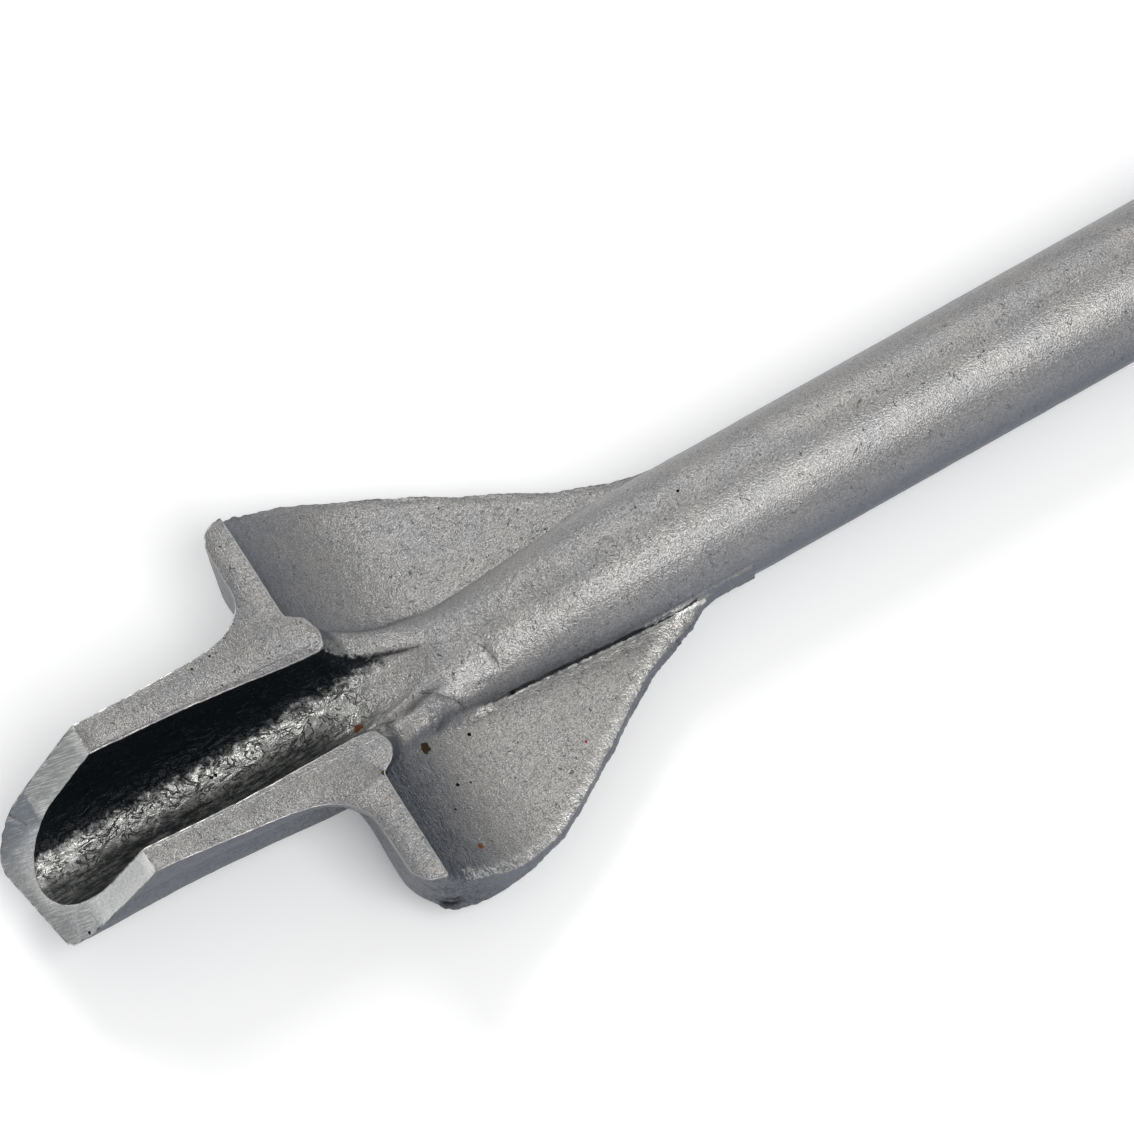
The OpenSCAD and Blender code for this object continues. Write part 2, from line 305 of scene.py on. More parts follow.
def tree_of(places):
    """A search tree of places"""
    tree = KDTree(len(places))
    for i, place in enumerate(places):
        tree.insert(place, i)
    tree.balance()
    return tree


def spread(bm, shares, rounds):
    """Softens a value on the skin by the mean of its neighbours"""
    for _ in range(rounds):
        shares = [
            0.5 * shares[v.index]
            + 0.5 * sum(shares[e.other_vert(v).index] for e in v.link_edges) / len(v.link_edges)
            for v in bm.verts
        ]
    return shares


def lighter_rim(p):
    """Whether a wing's rim is painted lighter at a point: on the left one, away from its root"""
    return p.y > 13 or (p.y > 0 and p.x < BAND_X - 30)


def roll_edges(bm):
    """Rolls the wings' upper faces down towards their outer edges"""
    rim = bm.verts.layers.float.new("rim")
    bm.normal_update()
    bm.verts.index_update()
    wings = [v for v in bm.verts if abs(v.co.y) > WING_Y and v.co.x < BAND_X - 2]
    walls = [v for v in wings if abs(v.normal.z) < 0.3 and abs(v.normal.y) > 0.3]
    tree = tree_of([(v.co.x, v.co.y, 0) for v in walls])
    drops = [0.0] * len(bm.verts)
    for v in wings:
        if v.normal.z > 0.3:
            away = tree.find((v.co.x, v.co.y, 0))[2]
            depth = ROLL_DEPTH * (1 + 0.5 * noise.noise(v.co * 0.4))
            drops[v.index] = depth * max(0.0, 1 - away / ROLL_WIDTH) ** 2
            if lighter_rim(v.co):
                v[rim] = smooth(ROLL_WIDTH, ROLL_WIDTH * 0.4, away)
    drops = spread(bm, drops, 3)
    for v in bm.verts:
        v.co.z -= drops[v.index]


def bends_of(bm):
    """How far the skin bends up round each of its points"""
    bends = []
    for v in bm.verts:
        sides = [e.other_vert(v).co - v.co for e in v.link_edges]
        bends.append(sum(v.normal.dot(side.normalized()) for side in sides) / len(sides))
    return bends


def sharpen_creases(bm, blank):
    """Draws the inner corners back onto the blank and marks how tight they are, as a share of
    painted shade
    """
    bm.normal_update()
    bm.verts.index_update()
    crease = bm.verts.layers.float.new("crease")
    wide = spread(bm, bends_of(bm), 3)
    for v in bm.verts:
        share = smooth(0.02, 0.08, wide[v.index])
        if share:
            corner = blank.find_nearest(v.co)[0]
            if (corner - v.co).length < SKIN_STEP * 2:
                v.co = v.co.lerp(corner, share)
    bm.normal_update()
    bends = spread(bm, bends_of(bm), 1)
    for v in bm.verts:
        v[crease] = smooth(0.05, 0.14, bends[v.index])


def off_line(p, a, b):
    """How far a point is from a stretch between two points, and where along it"""
    share = intersect_point_line(p, a, b)[1]
    share = min(max(share, 0.0), 1.0)
    return (p - a.lerp(b, share)).length, share


def groove_stretches():
    """The laps and valleys as straight stretches: both ends, both depths, radius and painted shade
    """
    stretches = []
    for radius, dark, points in GROOVES:
        for (*start, from_depth), (*end, to_depth) in zip(points, points[1:]):
            ends = (on_head(*start), on_head(*end))
            stretches.append((*ends, from_depth, to_depth, radius, dark))
    return stretches


def beside_root(p, nearest, furthest):
    """Whether a point is along the left wing's root, between two distances from the axis"""
    return nearest < p.y < furthest and LIP_RANGE[0] < p.x - BAND_X < LIP_RANGE[1]


def press_lines(bm):
    """Presses the laps and valleys in, raises the lip, and marks both on the skin: painted shade
    in the grooves and a painted highlight on the lip
    """
    # A new layer moves the older ones, so the crease is looked up after it
    lip = bm.verts.layers.float.new("lip")
    crease = bm.verts.layers.float["crease"]
    stretches = groove_stretches()
    root = tree_of([v.co for v in bm.verts if v[crease] > 0.6 and beside_root(v.co, 7, 10.5)])
    moves = []
    for v in bm.verts:
        p = v.co
        groove = 0.0
        for a, b, from_depth, to_depth, radius, dark in stretches:
            if abs(p.x - a.x) > GROOVE_REACH:
                continue
            away, share = off_line(p, a, b)
            if away < radius * 3:
                depth = from_depth + (to_depth - from_depth) * share
                depth *= math.exp(-((away / radius) ** 2))
                groove = max(groove, depth)
                # The grooves are painted dark, as shade, in the crease layer
                shade = dark * min(1.0, depth / max(from_depth, to_depth) * 1.3)
                v[crease] = max(v[crease], shade)
        bead = 0.0
        if beside_root(p, 6, 11.5):
            corner, _, away = root.find(p)
            if p.y > corner.y and away < 2:
                rough = 0.75 + 0.9 * noise.noise(p * 1.6)
                line = smooth(LIP_WIDTH, LIP_WIDTH * 0.3, abs(away - LIP_AWAY))
                v[lip] = line * min(max(rough, 0.0), 1.0)
                bead = LIP_HEIGHT * v[lip]
        if groove or bead:
            moves.append((v, v.normal * (bead - groove)))
    for v, move in moves:
        v.co += move


def trim_flat(bm):
    """The flat that the trimming of the flash left on the neck's left side"""
    near = []
    for f in bm.faces:
        middle = f.calc_center_median()
        if TRIM_START - 2 < middle.x - BAND_X < TRIM_END + 2 and middle.y > 6:
            near.append(f)
    for corner, normal in (
        (on_head(0, 0, TRIM_TOP), (0, 0, 1)),
        (on_head(TRIM_START, 0, 0), (1, 0, 0)),
    ):
        edges = list(dict.fromkeys(e for f in near for e in f.edges))
        verts = list(dict.fromkeys(v for f in near for v in f.verts))
        cut = bmesh.ops.bisect_plane(
            bm, geom=verts + edges + near, dist=1e-4, plane_co=corner, plane_no=normal
        )
        near = [g for g in cut["geom"] if isinstance(g, bmesh.types.BMFace)]
    for v in {v for f in near for v in f.verts}:
        u = v.co.x - BAND_X
        if TRIM_START - 1e-3 < u < TRIM_END and TRIM_LOW < v.co.z < TRIM_TOP + 1e-3:
            v.co.y = max(v.co.y, TRIM_Y - TRIM_SLOPE * (u - TRIM_START))


def wave(p, height, scale):
    """One layer of noise at a point"""
    return height * noise.noise(p * scale)


def torn(p):
    """How far a wing's torn flash edge stands out or back at a point"""
    height, scale = TEAR_RIPPLE
    ripple = height * noise.noise(p * scale + TEAR_SHIFT)
    return wave(p, *TEAR_WAVE) + ripple + (RIGHT_FLASH if p.y < 0 else 0.0)


def forged(p, n):
    """How far the forged skin stands off its smooth shape at a point with a normal"""
    u = p.x - BAND_X
    off = sum(wave(p, *layer) for layer in SKIN_WAVES)
    rim = smooth(0.35, 0.8, abs(n.y)) * smooth(9.6, 10.5, abs(p.y)) * (u < 3)
    if rim:
        off += rim * torn(p) * smooth(-54, -44, u)
    if -4 < u and abs(p.y) < 8 and p.z > -0.5:
        off += sum(wave(p, *layer) for layer in CHANNEL_WAVES)
    return off


def dented(p, dents):
    """How deep the nicks are at a point"""
    deep = 0.0
    for centre, r, depth in dents:
        t = (p - centre).length / r
        if t < 1:
            deep += depth * (1 - t * t) ** 2 * (1 + wave(p, 0.6, 1.7))
    return deep


def bulged(p, n):
    """How far the flash bulges from the left wing's side at a point with a normal"""
    rear, front = BULGE
    u = p.x - BAND_X
    if not (rear < u < front and p.y > 8.6 and p.z < 0.6 and n.z < 0.25):
        return 0.0
    share = smooth(rear, rear + 3, u) * smooth(front, front - 5, u)
    return BULGE_DEPTH * share * (1 + wave(p, 0.7, 1.9))


def rounded(p):
    """The move that rounds the right band's outer corner off at a point"""
    along = min(max((BAND_END_Y - p.y) / BAND_END_LENGTH, 0.0), 1.0)
    share = smooth(-2.5, 1.8, p.x - BAND_X) * smooth(4.0, 7.0, p.z)
    return Vector((0, -BAND_END_BULGE * along * share, -BAND_END_DROP * along**1.5 * share))


def hammer(bm):
    """Gives the skin its forged unevenness, torn edges and nicks"""
    bm.normal_update()
    dents = [(on_head(u, y, z), r, depth) for u, y, z, r, depth in DENTS]
    moves = []
    for v in bm.verts:
        p, n = v.co, v.normal
        off = forged(p, n) - dented(p, dents) + bulged(p, n)
        moves.append((v, n * off + rounded(p)))
    for v, move in moves:
        v.co += move


def keep_inside(bm):
    """Keeps the skin within the CAD model's box"""
    low, high = (corner / MM for corner in cad_box)
    for v in bm.verts:
        for i in range(3):
            v.co[i] = min(max(v.co[i], low[i] + 0.005), high[i] - 0.005)


def forged_skin():
    """The forging as one hammered skin, before its flat faces are cut"""
    mesh = blank_mesh()
    blank = bmesh.new()
    blank.from_mesh(mesh)
    solid = BVHTree.FromBMesh(blank)
    blank.free()
    bm = bmesh.new()
    bm.from_mesh(remeshed(mesh))
    for _ in range(SMOOTHINGS):
        bmesh.ops.smooth_vert(
            bm, verts=bm.verts, factor=0.5, use_axis_x=True, use_axis_y=True, use_axis_z=True
        )
    roll_edges(bm)
    sharpen_creases(bm, solid)
    press_lines(bm)
    lengthen_stem(bm)
    hammer(bm)
    trim_flat(bm)
    keep_inside(bm)
    return bm


def everywhere(p):
    return True


def on_right_arm(p):
    """Whether a point is on the right arm of the gouge's front end"""
    return p.x > BAND_X + 20 and p.y < -4 and p.z > 2


def on_upper_head(p):
    """Whether a point is on the gouge's front or near the top of the wings' bands"""
    return p.x > BAND_X + 15 or (p.x > BAND_X - 8 and p.z > 5)


def flat_cut(bm, corner, normal, chosen=everywhere):
    """Cuts the chosen region off at a plane and closes the cut"""
    verts = [v for v in bm.verts if chosen(v.co)]
    inside = set(verts)
    edges = [e for e in bm.edges if all(v in inside for v in e.verts)]
    faces = [f for f in bm.faces if all(v in inside for v in f.verts)]
    cut = bmesh.ops.bisect_plane(
        bm,
        geom=verts + edges + faces,
        dist=1e-4,
        plane_co=corner,
        plane_no=normal,
        clear_outer=True,
    )
    rim = [v for v in cut["geom_cut"] if isinstance(v, bmesh.types.BMVert)]
    bmesh.ops.remove_doubles(bm, verts=rim, dist=CUT_MERGE)
    loop = [e for e in bm.edges if e.is_boundary]
    filled = bmesh.ops.holes_fill(bm, edges=loop, sides=0)["faces"]
    bmesh.ops.triangulate(bm, faces=filled)


def flat_faces(bm, corner, normal):
    """The faces that lie in a plane"""
    corner = Vector(corner)
    return [
        f
        for f in bm.faces
        if f.normal.dot(normal) > SAME_WAY
        and abs((f.calc_center_median() - corner).dot(normal)) < SAME_PLANE
    ]


def on_border(edge, region):
    """Whether an edge of a region's face has a face outside the region too"""
    return any(f not in region for f in edge.link_faces)


def wear_edge(bm, faces, normal):
    """A narrow worn flat round a cut face"""
    region = set(faces)
    rim = {v for f in faces for e in f.edges if on_border(e, region) for v in e.verts}
    worn = bmesh.ops.inset_region(bm, faces=faces, thickness=EDGE_WEAR)["faces"]
    for f in worn:
        if max(e.calc_length() for e in f.edges) < EDGE_FACE:
            f.material_index = WORN
    for v in rim:
        if v.is_valid:
            v.co -= normal * EDGE_DROP


def forging():
    """The forging but its tang, with the lands, the bevel and the blunt edge cut flat"""
    bm = forged_skin()
    flat_cut(bm, *ARM_PLANE, on_right_arm)
    flat_cut(bm, *LAND_PLANE, on_upper_head)
    flat_cut(bm, *BLUNT_PLANE)
    flat_cut(bm, *BEVEL_PLANE)
    bm.normal_update()

    ground_faces = flat_faces(bm, *BEVEL_PLANE) + flat_faces(bm, *ARM_PLANE)
    for f in ground_faces:
        f.material_index = GROUND
    wear_edge(bm, flat_faces(bm, *LAND_PLANE), LAND_NORMAL)
    wear_edge(bm, ground_faces, BEVEL_NORMAL)
    bm.normal_update()

    for f in bm.faces:
        f.smooth = True
    flats = {f for plane in (LAND_PLANE, BEVEL_PLANE, ARM_PLANE) for f in flat_faces(bm, *plane)}
    for e in {e for f in flats for e in f.edges if on_border(e, flats)}:
        e.smooth = False
    bmesh.ops.scale(bm, vec=(MM,) * 3, verts=bm.verts)
    return put("forging", mesh_of("forging", bm))


# Tools for the finishes


def feed(tree, node, inputs):
    """Sets a node's inputs to values, or links them to sockets"""
    for name, value in inputs.items():
        if isinstance(value, bpy.types.NodeSocket):
            tree.links.new(value, node.inputs[name])
        else:
            node.inputs[name].default_value = value


def add(tree, kind, inputs=None, **settings):
    """A shader node with its settings, and its inputs as values or sockets"""
    made = tree.nodes.new("ShaderNode" + kind)
    for name, value in settings.items():
        setattr(made, name, value)
    feed(tree, made, inputs or {})
    return made


def finish_of(name):
    """A new material with its tree and shader"""
    material = bpy.data.materials.new(name)
    material.use_nodes = True
    tree = material.node_tree
    return material, tree, tree.nodes["Principled BSDF"]


def maths(tree, operation, *values):
    """A sum on numbers"""
    return add(tree, "Math", dict(enumerate(values)), operation=operation).outputs[0]


def times(tree, a, b):
    return maths(tree, "MULTIPLY", a, b)


def plus_share(tree, value, pattern, share):
    """A value with a share of a pattern added to it"""
    return maths(tree, "MULTIPLY_ADD", pattern, share, value)


def vectors(tree, operation, *values):
    """The outputs of a sum on places or directions"""
    return add(tree, "VectorMath", dict(enumerate(values)), operation=operation).outputs


def scaled(tree, vector, factor):
    """A place or direction made longer by a factor"""
    return add(tree, "VectorMath", {0: vector, "Scale": factor}, operation="SCALE").outputs[0]


def stretched(tree, place, factors):
    """The place squeezed along its axes, so that a pattern on it runs long"""
    return vectors(tree, "MULTIPLY", place, factors)[0]


def dot(tree, place, way):
    """How far a place is along a direction"""
    return vectors(tree, "DOT_PRODUCT", place, tuple(way))["Value"]


def distance(tree, a, b):
    return vectors(tree, "DISTANCE", a, b)["Value"]


def axes(tree, place):
    """The x, y and z of a place"""
    return tuple(add(tree, "SeparateXYZ", {0: place}).outputs)


def place_in_mm(tree):
    """The place on the object, in millimetres"""
    return scaled(tree, add(tree, "TexCoord").outputs["Object"], 1 / MM)


def cloud(tree, place, scale, detail=2.0, rough=0.5, distortion=0.0):
    """Soft noise about 0.5"""
    inputs = {
        "Vector": place,
        "Scale": scale,
        "Detail": detail,
        "Roughness": rough,
        "Distortion": distortion,
    }
    return add(tree, "TexNoise", inputs).outputs["Fac"]


def step_between(tree, value, low, high, to_low, to_high, kind):
    """A step of some kind from to_low at low to to_high at high"""
    inputs = {
        "Value": value,
        "From Min": low,
        "From Max": high,
        "To Min": to_low,
        "To Max": to_high,
    }
    return add(tree, "MapRange", inputs, interpolation_type=kind).outputs["Result"]


def ramp(tree, value, low, high, to_low=0.0, to_high=1.0):
    """A soft step from to_low at low to to_high at high"""
    return step_between(tree, value, low, high, to_low, to_high, "SMOOTHSTEP")


def straight(tree, value, low, high, to_low, to_high):
    """A straight line from to_low at low to to_high at high, and level beyond"""
    return step_between(tree, value, low, high, to_low, to_high, "LINEAR")


def blend(tree, share, a, b):
    """A colour between a and b"""
    made = add(tree, "Mix", {"Factor": share}, data_type="RGBA")
    for socket, colour in ((6, a), (7, b)):
        if not isinstance(colour, bpy.types.NodeSocket):
            colour = (*colour, 1)
        feed(tree, made, {socket: colour})
    return made.outputs[2]


def relief(tree, height):
    """The normal of a surface with a relief, in millimetres"""
    inputs = {"Height": height, "Distance": MM, "Strength": 1.0}
    return add(tree, "Bump", inputs).outputs["Normal"]


def painted(tree, name):
    """A value marked on the skin"""
    return add(tree, "Attribute", attribute_name=name).outputs["Fac"]


def squiggles(tree, place, scale, width, share, bend=1.2):
    """Thin broken squiggles: 1 along them and 0 elsewhere"""
    level = cloud(tree, place, scale, 1.0, 0.5, bend)
    away = maths(tree, "ABSOLUTE", maths(tree, "SUBTRACT", level, 0.5))
    line = ramp(tree, away, 0.0, width, 1.0, 0.0)
    where = ramp(tree, cloud(tree, place, scale * 1.7, 0.0), share, share + 0.08)
    return times(tree, line, where)


def off_stretch(tree, place, a, b):
    """How far a place is from the stretch between two points"""
    step = b - a
    from_a = vectors(tree, "SUBTRACT", place, tuple(a))[0]
    along = dot(tree, from_a, step / step.length_squared)
    along = add(tree, "Clamp", {"Value": along}).outputs[0]
    return distance(tree, from_a, scaled(tree, tuple(step), along))


def lines_from_above(tree, place, lines):
    """1 along thin uneven lines on the upper side, 0 elsewhere"""
    wander = add(tree, "TexNoise", {"Vector": place, "Scale": 1.5, "Detail": 2.0}).outputs["Color"]
    shift = vectors(tree, "SUBTRACT", wander, (0.5, 0.5, 0.5))[0]
    shaken = vectors(tree, "MULTIPLY_ADD", shift, (0.4, 0.4, 0.4), place)[0]
    above = stretched(tree, shaken, (1.0, 1.0, 0.0))
    drawn = 0.0
    for half, points in lines:
        places = [on_head(*point, 0) for point in points]
        for a, b in zip(places, places[1:]):
            away = off_stretch(tree, above, a, b)
            line = ramp(tree, away, half * 0.5, half * 2.2, 1.0, 0.0)
            drawn = maths(tree, "MAXIMUM", drawn, line)
    upper = ramp(tree, axes(tree, place)[2], -1.0, -0.6)
    return times(tree, drawn, upper)


# Rust and dark pits on the forging

RUST = (0.23, 0.085, 0.03)
BROWN = (0.06, 0.04, 0.022)
RED = (0.30, 0.02, 0.02)
PIT = (0.008, 0.008, 0.01)
# Station, y, z, radius and colour
SPOTS = [
    (-1.0, 3.2, 3.3, 0.75, RUST),
    (-6.6, 9.7, 2.6, 0.8, BROWN),
    (-0.1, 12.6, 8.1, 0.45, BROWN),
    (-6.1, 24.9, 2.2, 0.4, RUST),
    (-24.7, 18.2, -0.6, 0.2, RED),
    (-12.7, 10.0, 0.4, 0.27, PIT),
    (-7.9, 15.8, 1.7, 0.25, PIT),
    (-9.5, 16.1, 1.0, 0.16, PIT),
    (-5.9, 19.0, 2.6, 0.18, PIT),
    (-45.3, -5.7, 7.0, 0.16, PIT),
    (-50.2, -1.2, 8.9, 0.24, PIT),
    (17.0, -1.8, 1.2, 0.25, PIT),
    (17.6, -1.8, 1.2, 0.25, PIT),
    (39.9, 10.1, 4.0, 0.45, PIT),
    (37.5, 10.6, 6.3, 0.35, PIT),
    (38.6, 10.5, 5.2, 0.25, PIT),
    (41.0, 9.3, 2.9, 0.3, PIT),
    (41.8, -10.8, 2.3, 0.25, PIT),
    (13.5, -11.9, 10.1, 0.22, BROWN),
    (10.7, -12.5, 9.7, 0.2, PIT),
    (-20.2, 7.8, 0.2, 0.3, PIT),
]


def spotted(tree, place, colour):
    """A colour with the rust spots and dark pits on it"""
    worn = cloud(tree, place, 3.0, 3.0)
    for u, y, z, r, tint in SPOTS:
        away = distance(tree, place, (BAND_X + u, y, z))
        ragged = plus_share(tree, away, worn, -r * 1.2)
        colour = blend(tree, ramp(tree, ragged, r * 0.25, r * 0.5, 1.0, 0.0), colour, tint)
    return colour


# The silver coat

# Faces that look away from here are painted darker and bluer, as shade
LIT_WAY = (0.42, 0.0, 0.91)

# Thin lines seen from above, painted as shade along the laps and the root crease and as a
# highlight along the root's lip: half width, and points as station and y
LAPS = [
    (0.09, [(-4.5, -4.9), (-6.5, -4.1), (-10.1, -2.8), (-12.6, -1.85)]),
    (0.045, [(-19.0, 2.2), (-19.6, 3.2), (-19.95, 4.5), (-19.9, 5.6)]),
    (0.045, [(-9.7, 3.75), (-11.3, 4.65), (-12.4, 5.7), (-13.5, 6.7), (-13.7, 7.3)]),
]
ROOT_CREASE = [
    (0.08, [
        (-46.0, 9.2),
        (-42.0, 9.15),
        (-38.0, 8.95),
        (-34.0, 8.7),
        (-30.0, 8.4),
        (-26.0, 8.1),
        (-22.0, 7.85),
        (-19.5, 7.75),
    ]),
]
ROOT_HIGHLIGHT_LINE = [
    (0.13, [
        (-47.0, 9.5),
        (-42.0, 9.5),
        (-38.0, 9.3),
        (-34.0, 9.05),
        (-30.0, 8.75),
        (-26.0, 8.45),
        (-22.0, 8.2),
        (-19.5, 8.1),
    ]),
]

COAT_COOL = (0.335, 0.331, 0.33)
COAT_WARM = (0.375, 0.362, 0.348)
# Painted light on the left wing's upper face
WING_PAINTED_LIGHT = (0.46, 0.445, 0.425)
DARK_GRAIN = (0.17, 0.17, 0.175)
PALE_GRAIN = (0.56, 0.555, 0.54)
PALE_HAIR = (0.60, 0.60, 0.58)
CRACK = (0.05, 0.05, 0.055)
# Painted shade on faces that look down or back
UNDERSIDE_SHADE = (0.075, 0.092, 0.125)
# Painted shade in the wings' curls
CURL_SHADE_DARK = (0.05, 0.058, 0.075)
CURL_SHADE_PALE = (0.18, 0.19, 0.21)
# Painted shade in creases and grooves
CREASE_SHADE = (0.02, 0.021, 0.024)
# Painted highlights on the lip and along the root
LIP_HIGHLIGHT = (0.60, 0.60, 0.57)
ROOT_HIGHLIGHT = (0.74, 0.74, 0.71)
BRIGHT_RIM = (0.60, 0.60, 0.575)
# Painted shade along the laps and the root crease
LAP_SHADE = (0.025, 0.026, 0.03)
# A strip painted pale as a highlight, with dark wrinkles
STRIP_HIGHLIGHT_DIM = (0.30, 0.30, 0.29)
STRIP_HIGHLIGHT = (0.50, 0.50, 0.48)
WRINKLE = (0.03, 0.03, 0.033)
# Painted shade on the channel's floor, with streaks
FLOOR_SHADE_DARK = (0.03, 0.032, 0.034)
FLOOR_SHADE_STREAK = (0.13, 0.128, 0.12)
# Painted shade on the channel's far side
WALL_SHADE_BLACK = (0.004, 0.006, 0.008)


def station(tree, place):
    """How far forward a place is on the head"""
    return maths(tree, "SUBTRACT", axes(tree, place)[0], BAND_X)


def below_lands(tree, place):
    """How far a place is below the lands' plane"""
    x, _, z = axes(tree, place)
    land = maths(tree, "MULTIPLY_ADD", x, LAND_SLOPE, LAND_H - LAND_SLOPE * BAND_X)
    return maths(tree, "SUBTRACT", land, z)


def inside_channel(tree, place):
    """1 on the channel's walls and floor, 0 on the lands, the outer walls and the crown"""
    _, y, z = axes(tree, place)
    below = ramp(tree, below_lands(tree, place), 0.05, 0.2)
    between = ramp(tree, maths(tree, "ABSOLUTE", y), 7.75, 7.95, 1.0, 0.0)
    above = ramp(tree, z, -0.6, -0.1)
    return times(tree, times(tree, below, between), above)


def channel_zones(tree, place):
    """Shares in the channel: painted shade on its far side and on its floor, and its front, where
    a strip is painted pale as a highlight
    """
    u = station(tree, place)
    uneven = maths(tree, "SUBTRACT", cloud(tree, place, 0.9, 4.0, 0.7), 0.5)
    y = plus_share(tree, axes(tree, place)[1], uneven, 4.0)
    near = straight(tree, u, 4.0, -11.0, -3.4, -2.8)
    far = straight(tree, u, 2.0, -11.0, -9.5, -2.2)
    before_near = ramp(tree, maths(tree, "SUBTRACT", near, y), -0.9, 0.7)
    behind_far = ramp(tree, maths(tree, "SUBTRACT", y, far), 0.0, 0.8)
    # The channel's far side is painted black, as shade
    wall = times(tree, before_near, behind_far)
    wall = times(tree, wall, ramp(tree, u, -12.0, -7.0))
    # The floor towards +y is painted dark, as shade
    dark_floor = times(tree, ramp(tree, y, -1.6, 1.0), ramp(tree, u, -3.0, 5.0))
    inside = inside_channel(tree, place)
    # The channel's front, where a strip is painted pale as a highlight
    front_strip = times(tree, inside, ramp(tree, u, -9.0, 0.0))
    return times(tree, wall, inside), times(tree, dark_floor, inside), front_strip


def land_share(tree, place):
    """1 on the flat lands and 0 elsewhere"""
    off = maths(tree, "ABSOLUTE", below_lands(tree, place))
    level = ramp(tree, off, 0.03, 0.09, 1.0, 0.0)
    return times(tree, level, ramp(tree, axes(tree, place)[0], BAND_X - 5, BAND_X - 4))


def curl_shade_share(tree, place):
    """How much painted shade lies in the hollows where the wings curl up to the bands"""
    _, y, z = axes(tree, place)
    uneven = plus_share(tree, station(tree, place), cloud(tree, place, 0.5, 3.0), 5.0)
    hollow = ramp(tree, uneven, -6.0, 1.0)
    outer = ramp(tree, maths(tree, "ABSOLUTE", y), 9.0, 12.0)
    low = ramp(tree, maths(tree, "SUBTRACT", LAND_H, z), 0.3, 1.0)
    left = ramp(tree, y, -2.0, 2.0, 0.35, 0.75)
    return times(tree, times(tree, times(tree, hollow, outer), low), left)


def left_wing_light(tree, place):
    """How much lighter the left wing's upper face is painted, as painted light"""
    x, y, _ = axes(tree, place)
    return times(tree, ramp(tree, y, 8.5, 9.5), ramp(tree, x, BAND_X - 12, BAND_X - 6, 0.6, 0.0))


def painted_underside_shade(tree):
    """1 where faces are painted darker and bluer as shade: those that look down or back"""
    towards = dot(tree, add(tree, "TexCoord").outputs["Normal"], LIT_WAY)
    return ramp(tree, towards, -0.15, 0.82, 1.0, 0.0)


class CoatMarks:
    """The patterns that the coat's relief, colour and sheen share, each from 0 to 1"""

    def __init__(self, tree, place):
        x, _, z = axes(tree, place)
        # Painted shade on the channel's far side and floor, and the front strip painted pale as a
        # highlight
        self.wall, self.dark_floor, self.front_strip = channel_zones(tree, place)
        self.flatness = land_share(tree, place)
        # Painted shade in the wings' curls, which also weights their brushed relief
        self.curl = curl_shade_share(tree, place)
        self.head = ramp(tree, x, BAND_X - 60, BAND_X - 40)
        # Painted shade in the tight creases and pressed grooves
        self.crease = painted(tree, "crease")
        # Painted highlight on the raised lip
        self.lip = painted(tree, "lip")
        ragged = ramp(tree, cloud(tree, place, 1.6, 3.0, 0.6, 1.0), 0.42, 0.62, 0.0, 0.85)
        # The rims are painted lighter in a ragged band
        self.rim = times(tree, painted(tree, "rim"), ragged)

        self.grain = cloud(tree, place, 4.4, 1.0, 0.6)
        self.peel = cloud(tree, place, 0.9, 2.0, 0.5)
        self.hairs = times(tree, squiggles(tree, place, 1.1, 0.025, 0.50), self.head)
        self.cracks = squiggles(tree, place, 0.6, 0.012, 0.57)
        across = stretched(tree, place, (1.0, 0.35, 0.6))
        self.brushed = cloud(tree, across, 2.4, 3.0, 0.65, 1.5)
        drawn = stretched(tree, place, (0.6, 1.0, 1.0))
        self.folds = cloud(tree, drawn, 0.55, 1.0, 0.5, 1.2)
        self.wrinkles = squiggles(tree, drawn, 0.55, 0.05, 0.40, 2.2)

        faint = ramp(tree, self.peel, 0.35, 0.55, 0.2, 0.65)
        # Painted shade along the laps and the root crease
        laps = times(tree, lines_from_above(tree, place, LAPS), faint)
        foot = ramp(tree, z, 0.2, 0.45, 1.0, 0.0)
        root = times(tree, lines_from_above(tree, place, ROOT_CREASE), foot)
        self.laps = maths(tree, "MAXIMUM", laps, root)
        # Painted highlight along the root's lip
        broken = ramp(tree, cloud(tree, place, 0.9, 2.0), 0.38, 0.5)
        self.root_highlight = times(tree, lines_from_above(tree, place, ROOT_HIGHLIGHT_LINE), broken)


def coat_height(tree, marks):
    """The coat's relief, in millimetres"""
    height = times(tree, marks.grain, 0.09)
    height = plus_share(tree, height, marks.peel, ramp(tree, marks.head, 0.0, 1.0, 0.05, 0.13))
    height = plus_share(tree, height, marks.hairs, 0.06)
    height = times(tree, height, ramp(tree, marks.flatness, 0.0, 1.0, 1.0, 0.6))
    height = plus_share(tree, height, marks.cracks, -0.08)
    height = plus_share(tree, height, times(tree, marks.brushed, marks.curl), 0.55)
    deep = plus_share(tree, times(tree, marks.folds, 0.34), marks.wrinkles, -0.10)
    height = plus_share(tree, height, deep, marks.front_strip)
    return plus_share(tree, height, marks.laps, -0.05)


def strip_highlight_colour(tree, marks):
    """The wrinkled strip in the channel's front, painted pale as a highlight"""
    strip = blend(tree, ramp(tree, marks.folds, 0.35, 0.65), STRIP_HIGHLIGHT_DIM, STRIP_HIGHLIGHT)
    return blend(tree, times(tree, marks.wrinkles, 0.9), strip, WRINKLE)


def floor_shade_colour(tree, place):
    """The streaky painted shade on the channel's floor"""
    streaks = cloud(tree, stretched(tree, place, (0.25, 1.0, 1.0)), 1.8, 3.0, 0.6)
    return blend(tree, ramp(tree, streaks, 0.4, 0.7), FLOOR_SHADE_DARK, FLOOR_SHADE_STREAK)


